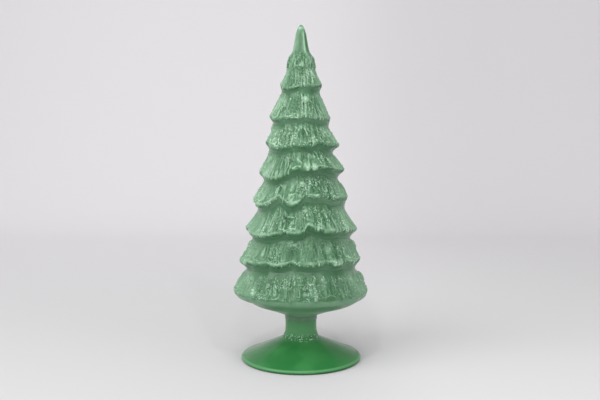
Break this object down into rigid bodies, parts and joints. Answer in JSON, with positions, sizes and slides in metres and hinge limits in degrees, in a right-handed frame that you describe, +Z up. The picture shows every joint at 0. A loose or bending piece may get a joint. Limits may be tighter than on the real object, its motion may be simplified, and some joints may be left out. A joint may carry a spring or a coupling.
{
  "type": "glass christmas tree figurine",
  "caption": "Hollow moulded glass Christmas tree with ridged, scalloped tiers of boughs and a smooth spire, on a neck ring, a short stem and a domed round foot.",
  "frame": {"origin": "centre of the flat resting ring under the foot, on the surface that it stands on", "axes": "+Z up along the tree's axis to the tip of the spire, -Y towards the side that the picture shows"},
  "size_m": [0.0965, 0.0966, 0.24],
  "materials": {
    "milky_green_glass": "milky pale green glass, fire-polished gloss over a moulded texture",
    "deep_green_glass": "deeper green glass, smooth gloss"
  },
  "bodies": {
    "root": {"tree_body": "milky_green_glass", "neck_ring": "milky_green_glass", "stem": "deep_green_glass", "foot": "deep_green_glass"}
  },
  "joints": []
}
